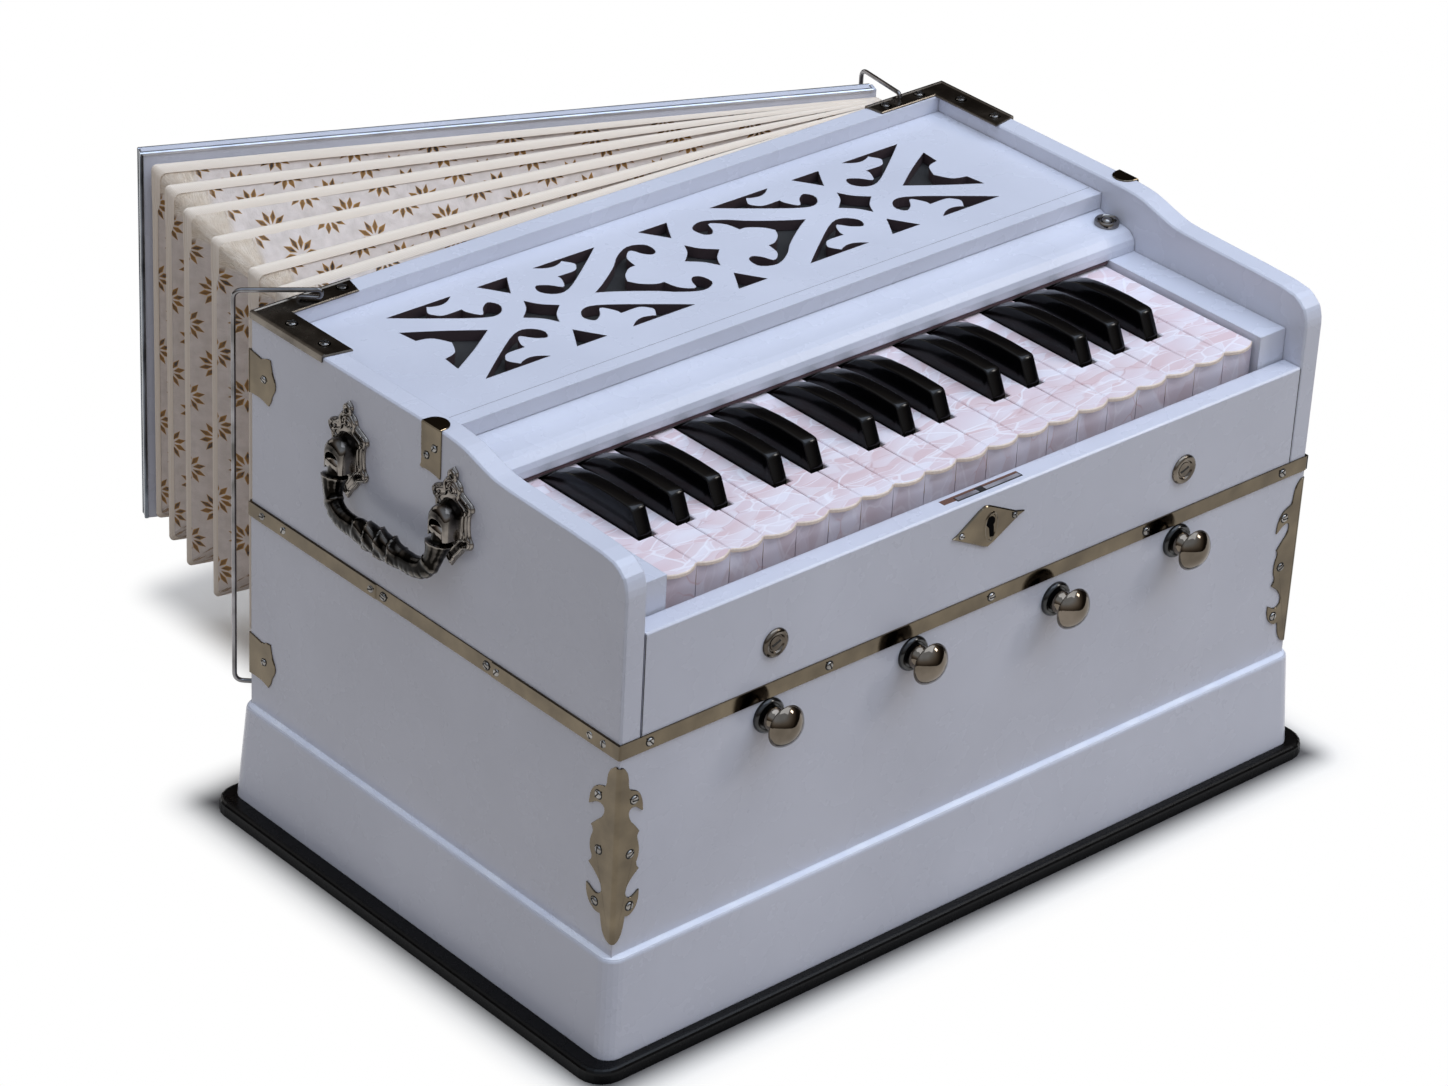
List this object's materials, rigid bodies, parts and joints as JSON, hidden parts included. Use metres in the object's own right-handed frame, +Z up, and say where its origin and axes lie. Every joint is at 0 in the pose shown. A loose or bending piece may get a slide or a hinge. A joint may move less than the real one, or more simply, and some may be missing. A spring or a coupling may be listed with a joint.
{
  "type": "indian harmonium",
  "caption": "Hand-pumped table reed organ in a painted wooden case, with pearl and black keys, a fretwork top board, carrying handles and rear bellows swung part open.",
  "frame": {"origin": "centre of the case's plan, on the underside of the base board", "axes": "+X along the case towards the keyboard player's right, +Y back from the keys towards the bellows, +Z up"},
  "size_m": [0.5222, 0.5035, 0.3035],
  "materials": {
    "case_paint": "smooth satin-gloss paint",
    "base_paint": "black gloss paint",
    "bare_wood": "sanded, unpainted",
    "band_metal": "polished nickel plate",
    "cast_metal": "dark glossy plating",
    "wire_steel": "bright drawn wire",
    "stop_metal": "polished dark nickel plate",
    "white_key": "pearl sheet over wood",
    "black_key": "polished black",
    "fold_cloth": "printed cloth on card with leather edge tape"
  },
  "bodies": {
    "case": {"base_board": "base_paint", "skirt": "case_paint", "lower_case": "case_paint", "metal_band": "band_metal", "left_cheek": "case_paint", "right_cheek": "case_paint", "upper_back": "case_paint", "front_panel": "case_paint", "top_board": "case_paint", "key_rail": "case_paint", "key_frame": "case_paint", "reed_board": "bare_wood", "left_handle_plate_front": "cast_metal", "left_handle_plate_back": "cast_metal", "right_handle_plate_front": "cast_metal", "right_handle_plate_back": "cast_metal", "bellows_folds": "fold_cloth", "reservoir_folds": "fold_cloth"},
    "bellows_board": {"bellows_board": "case_paint"},
    "reservoir_board": {"reservoir_board": "bare_wood"},
    "left_wire": {"left_wire": "wire_steel"},
    "right_wire": {"right_wire": "wire_steel"},
    "left_handle": {"left_handle": "cast_metal"},
    "right_handle": {"right_handle": "cast_metal"},
    "stop_1": {"stop_1": "stop_metal"},
    "stop_2": {"stop_2": "stop_metal"},
    "stop_3": {"stop_3": "stop_metal"},
    "stop_4": {"stop_4": "stop_metal"},
    "white_key_01": {"white_key_01": "white_key"},
    "white_key_02": {"white_key_02": "white_key"},
    "white_key_03": {"white_key_03": "white_key"},
    "white_key_04": {"white_key_04": "white_key"},
    "white_key_05": {"white_key_05": "white_key"},
    "white_key_06": {"white_key_06": "white_key"},
    "white_key_07": {"white_key_07": "white_key"},
    "white_key_08": {"white_key_08": "white_key"},
    "white_key_09": {"white_key_09": "white_key"},
    "white_key_10": {"white_key_10": "white_key"},
    "white_key_11": {"white_key_11": "white_key"},
    "white_key_12": {"white_key_12": "white_key"},
    "white_key_13": {"white_key_13": "white_key"},
    "white_key_14": {"white_key_14": "white_key"},
    "white_key_15": {"white_key_15": "white_key"},
    "white_key_16": {"white_key_16": "white_key"},
    "white_key_17": {"white_key_17": "white_key"},
    "white_key_18": {"white_key_18": "white_key"},
    "white_key_19": {"white_key_19": "white_key"},
    "black_key_01": {"black_key_01": "black_key"},
    "black_key_02": {"black_key_02": "black_key"},
    "black_key_03": {"black_key_03": "black_key"},
    "black_key_04": {"black_key_04": "black_key"},
    "black_key_05": {"black_key_05": "black_key"},
    "black_key_06": {"black_key_06": "black_key"},
    "black_key_07": {"black_key_07": "black_key"},
    "black_key_08": {"black_key_08": "black_key"},
    "black_key_09": {"black_key_09": "black_key"},
    "black_key_10": {"black_key_10": "black_key"},
    "black_key_11": {"black_key_11": "black_key"},
    "black_key_12": {"black_key_12": "black_key"},
    "black_key_13": {"black_key_13": "black_key"}
  },
  "joints": [
    {"name": "bellows_hinge", "type": "hinge", "parent": "case", "child": "bellows_board", "pos_m": [0.2025, 0.1606, 0.184], "axis": [0, 0, 1], "range_deg": [0, 23.5], "deforming": ["bellows_folds"]},
    {"name": "reservoir_hinge", "type": "hinge", "parent": "case", "child": "reservoir_board", "pos_m": [0, 0.093, 0.0206], "axis": [-1, 0, 0], "range_deg": [0, 14], "stiffness_Nm_per_rad": 4, "springref_deg": -17.19, "deforming": ["reservoir_folds"]},
    {"name": "left_wire_pivot", "type": "hinge", "parent": "case", "child": "left_wire", "pos_m": [-0.2134, 0.1434, 0.184], "axis": [0, 0, 1], "range_deg": [-47, 13]},
    {"name": "right_wire_pivot", "type": "hinge", "parent": "case", "child": "right_wire", "pos_m": [0.204, 0.1434, 0.184], "axis": [0, 0, 1], "range_deg": [-50, 20]},
    {"name": "left_handle_hinge", "type": "hinge", "parent": "case", "child": "left_handle", "pos_m": [-0.2482, 0.023, 0.248], "axis": [0, 1, 0], "range_deg": [0, 90]},
    {"name": "right_handle_hinge", "type": "hinge", "parent": "case", "child": "right_handle", "pos_m": [0.2482, 0.023, 0.248], "axis": [0, -1, 0], "range_deg": [0, 90]},
    {"name": "stop_1_slide", "type": "slide", "parent": "case", "child": "stop_1", "axis": [0, -1, 0], "range_m": [0, 0.02]},
    {"name": "stop_2_slide", "type": "slide", "parent": "case", "child": "stop_2", "axis": [0, -1, 0], "range_m": [0, 0.02]},
    {"name": "stop_3_slide", "type": "slide", "parent": "case", "child": "stop_3", "axis": [0, -1, 0], "range_m": [0, 0.02]},
    {"name": "stop_4_slide", "type": "slide", "parent": "case", "child": "stop_4", "axis": [0, -1, 0], "range_m": [0, 0.02]},
    {"name": "white_key_01_pivot", "type": "hinge", "parent": "case", "child": "white_key_01", "pos_m": [-0.19175, -0.019, 0.248], "axis": [1, 0, 0], "range_deg": [0, 4], "stiffness_Nm_per_rad": 0.4, "springref_deg": -8.59},
    {"name": "black_key_01_pivot", "type": "hinge", "parent": "case", "child": "black_key_01", "pos_m": [-0.181, -0.019, 0.248], "axis": [1, 0, 0], "range_deg": [0, 4], "stiffness_Nm_per_rad": 0.4, "springref_deg": -8.59},
    {"name": "white_key_02_pivot", "type": "hinge", "parent": "case", "child": "white_key_02", "pos_m": [-0.17025, -0.019, 0.248], "axis": [1, 0, 0], "range_deg": [0, 4], "stiffness_Nm_per_rad": 0.4, "springref_deg": -8.59},
    {"name": "black_key_02_pivot", "type": "hinge", "parent": "case", "child": "black_key_02", "pos_m": [-0.1595, -0.019, 0.248], "axis": [1, 0, 0], "range_deg": [0, 4], "stiffness_Nm_per_rad": 0.4, "springref_deg": -8.59},
    {"name": "white_key_03_pivot", "type": "hinge", "parent": "case", "child": "white_key_03", "pos_m": [-0.14875, -0.019, 0.248], "axis": [1, 0, 0], "range_deg": [0, 4], "stiffness_Nm_per_rad": 0.4, "springref_deg": -8.59},
    {"name": "black_key_03_pivot", "type": "hinge", "parent": "case", "child": "black_key_03", "pos_m": [-0.138, -0.019, 0.248], "axis": [1, 0, 0], "range_deg": [0, 4], "stiffness_Nm_per_rad": 0.4, "springref_deg": -8.59},
    {"name": "white_key_04_pivot", "type": "hinge", "parent": "case", "child": "white_key_04", "pos_m": [-0.12725, -0.019, 0.248], "axis": [1, 0, 0], "range_deg": [0, 4], "stiffness_Nm_per_rad": 0.4, "springref_deg": -8.59},
    {"name": "white_key_05_pivot", "type": "hinge", "parent": "case", "child": "white_key_05", "pos_m": [-0.10575, -0.019, 0.248], "axis": [1, 0, 0], "range_deg": [0, 4], "stiffness_Nm_per_rad": 0.4, "springref_deg": -8.59},
    {"name": "black_key_04_pivot", "type": "hinge", "parent": "case", "child": "black_key_04", "pos_m": [-0.095, -0.019, 0.248], "axis": [1, 0, 0], "range_deg": [0, 4], "stiffness_Nm_per_rad": 0.4, "springref_deg": -8.59},
    {"name": "white_key_06_pivot", "type": "hinge", "parent": "case", "child": "white_key_06", "pos_m": [-0.08425, -0.019, 0.248], "axis": [1, 0, 0], "range_deg": [0, 4], "stiffness_Nm_per_rad": 0.4, "springref_deg": -8.59},
    {"name": "black_key_05_pivot", "type": "hinge", "parent": "case", "child": "black_key_05", "pos_m": [-0.0735, -0.019, 0.248], "axis": [1, 0, 0], "range_deg": [0, 4], "stiffness_Nm_per_rad": 0.4, "springref_deg": -8.59},
    {"name": "white_key_07_pivot", "type": "hinge", "parent": "case", "child": "white_key_07", "pos_m": [-0.06275, -0.019, 0.248], "axis": [1, 0, 0], "range_deg": [0, 4], "stiffness_Nm_per_rad": 0.4, "springref_deg": -8.59},
    {"name": "white_key_08_pivot", "type": "hinge", "parent": "case", "child": "white_key_08", "pos_m": [-0.04125, -0.019, 0.248], "axis": [1, 0, 0], "range_deg": [0, 4], "stiffness_Nm_per_rad": 0.4, "springref_deg": -8.59},
    {"name": "black_key_06_pivot", "type": "hinge", "parent": "case", "child": "black_key_06", "pos_m": [-0.0305, -0.019, 0.248], "axis": [1, 0, 0], "range_deg": [0, 4], "stiffness_Nm_per_rad": 0.4, "springref_deg": -8.59},
    {"name": "white_key_09_pivot", "type": "hinge", "parent": "case", "child": "white_key_09", "pos_m": [-0.01975, -0.019, 0.248], "axis": [1, 0, 0], "range_deg": [0, 4], "stiffness_Nm_per_rad": 0.4, "springref_deg": -8.59},
    {"name": "black_key_07_pivot", "type": "hinge", "parent": "case", "child": "black_key_07", "pos_m": [-0.009, -0.019, 0.248], "axis": [1, 0, 0], "range_deg": [0, 4], "stiffness_Nm_per_rad": 0.4, "springref_deg": -8.59},
    {"name": "white_key_10_pivot", "type": "hinge", "parent": "case", "child": "white_key_10", "pos_m": [0.00175, -0.019, 0.248], "axis": [1, 0, 0], "range_deg": [0, 4], "stiffness_Nm_per_rad": 0.4, "springref_deg": -8.59},
    {"name": "black_key_08_pivot", "type": "hinge", "parent": "case", "child": "black_key_08", "pos_m": [0.0125, -0.019, 0.248], "axis": [1, 0, 0], "range_deg": [0, 4], "stiffness_Nm_per_rad": 0.4, "springref_deg": -8.59},
    {"name": "white_key_11_pivot", "type": "hinge", "parent": "case", "child": "white_key_11", "pos_m": [0.02325, -0.019, 0.248], "axis": [1, 0, 0], "range_deg": [0, 4], "stiffness_Nm_per_rad": 0.4, "springref_deg": -8.59},
    {"name": "white_key_12_pivot", "type": "hinge", "parent": "case", "child": "white_key_12", "pos_m": [0.04475, -0.019, 0.248], "axis": [1, 0, 0], "range_deg": [0, 4], "stiffness_Nm_per_rad": 0.4, "springref_deg": -8.59},
    {"name": "black_key_09_pivot", "type": "hinge", "parent": "case", "child": "black_key_09", "pos_m": [0.0555, -0.019, 0.248], "axis": [1, 0, 0], "range_deg": [0, 4], "stiffness_Nm_per_rad": 0.4, "springref_deg": -8.59},
    {"name": "white_key_13_pivot", "type": "hinge", "parent": "case", "child": "white_key_13", "pos_m": [0.06625, -0.019, 0.248], "axis": [1, 0, 0], "range_deg": [0, 4], "stiffness_Nm_per_rad": 0.4, "springref_deg": -8.59},
    {"name": "black_key_10_pivot", "type": "hinge", "parent": "case", "child": "black_key_10", "pos_m": [0.077, -0.019, 0.248], "axis": [1, 0, 0], "range_deg": [0, 4], "stiffness_Nm_per_rad": 0.4, "springref_deg": -8.59},
    {"name": "white_key_14_pivot", "type": "hinge", "parent": "case", "child": "white_key_14", "pos_m": [0.08775, -0.019, 0.248], "axis": [1, 0, 0], "range_deg": [0, 4], "stiffness_Nm_per_rad": 0.4, "springref_deg": -8.59},
    {"name": "white_key_15_pivot", "type": "hinge", "parent": "case", "child": "white_key_15", "pos_m": [0.10925, -0.019, 0.248], "axis": [1, 0, 0], "range_deg": [0, 4], "stiffness_Nm_per_rad": 0.4, "springref_deg": -8.59},
    {"name": "black_key_11_pivot", "type": "hinge", "parent": "case", "child": "black_key_11", "pos_m": [0.12, -0.019, 0.248], "axis": [1, 0, 0], "range_deg": [0, 4], "stiffness_Nm_per_rad": 0.4, "springref_deg": -8.59},
    {"name": "white_key_16_pivot", "type": "hinge", "parent": "case", "child": "white_key_16", "pos_m": [0.13075, -0.019, 0.248], "axis": [1, 0, 0], "range_deg": [0, 4], "stiffness_Nm_per_rad": 0.4, "springref_deg": -8.59},
    {"name": "black_key_12_pivot", "type": "hinge", "parent": "case", "child": "black_key_12", "pos_m": [0.1415, -0.019, 0.248], "axis": [1, 0, 0], "range_deg": [0, 4], "stiffness_Nm_per_rad": 0.4, "springref_deg": -8.59},
    {"name": "white_key_17_pivot", "type": "hinge", "parent": "case", "child": "white_key_17", "pos_m": [0.15225, -0.019, 0.248], "axis": [1, 0, 0], "range_deg": [0, 4], "stiffness_Nm_per_rad": 0.4, "springref_deg": -8.59},
    {"name": "black_key_13_pivot", "type": "hinge", "parent": "case", "child": "black_key_13", "pos_m": [0.163, -0.019, 0.248], "axis": [1, 0, 0], "range_deg": [0, 4], "stiffness_Nm_per_rad": 0.4, "springref_deg": -8.59},
    {"name": "white_key_18_pivot", "type": "hinge", "parent": "case", "child": "white_key_18", "pos_m": [0.17375, -0.019, 0.248], "axis": [1, 0, 0], "range_deg": [0, 4], "stiffness_Nm_per_rad": 0.4, "springref_deg": -8.59},
    {"name": "white_key_19_pivot", "type": "hinge", "parent": "case", "child": "white_key_19", "pos_m": [0.19525, -0.019, 0.248], "axis": [1, 0, 0], "range_deg": [0, 4], "stiffness_Nm_per_rad": 0.4, "springref_deg": -8.59}
  ]
}
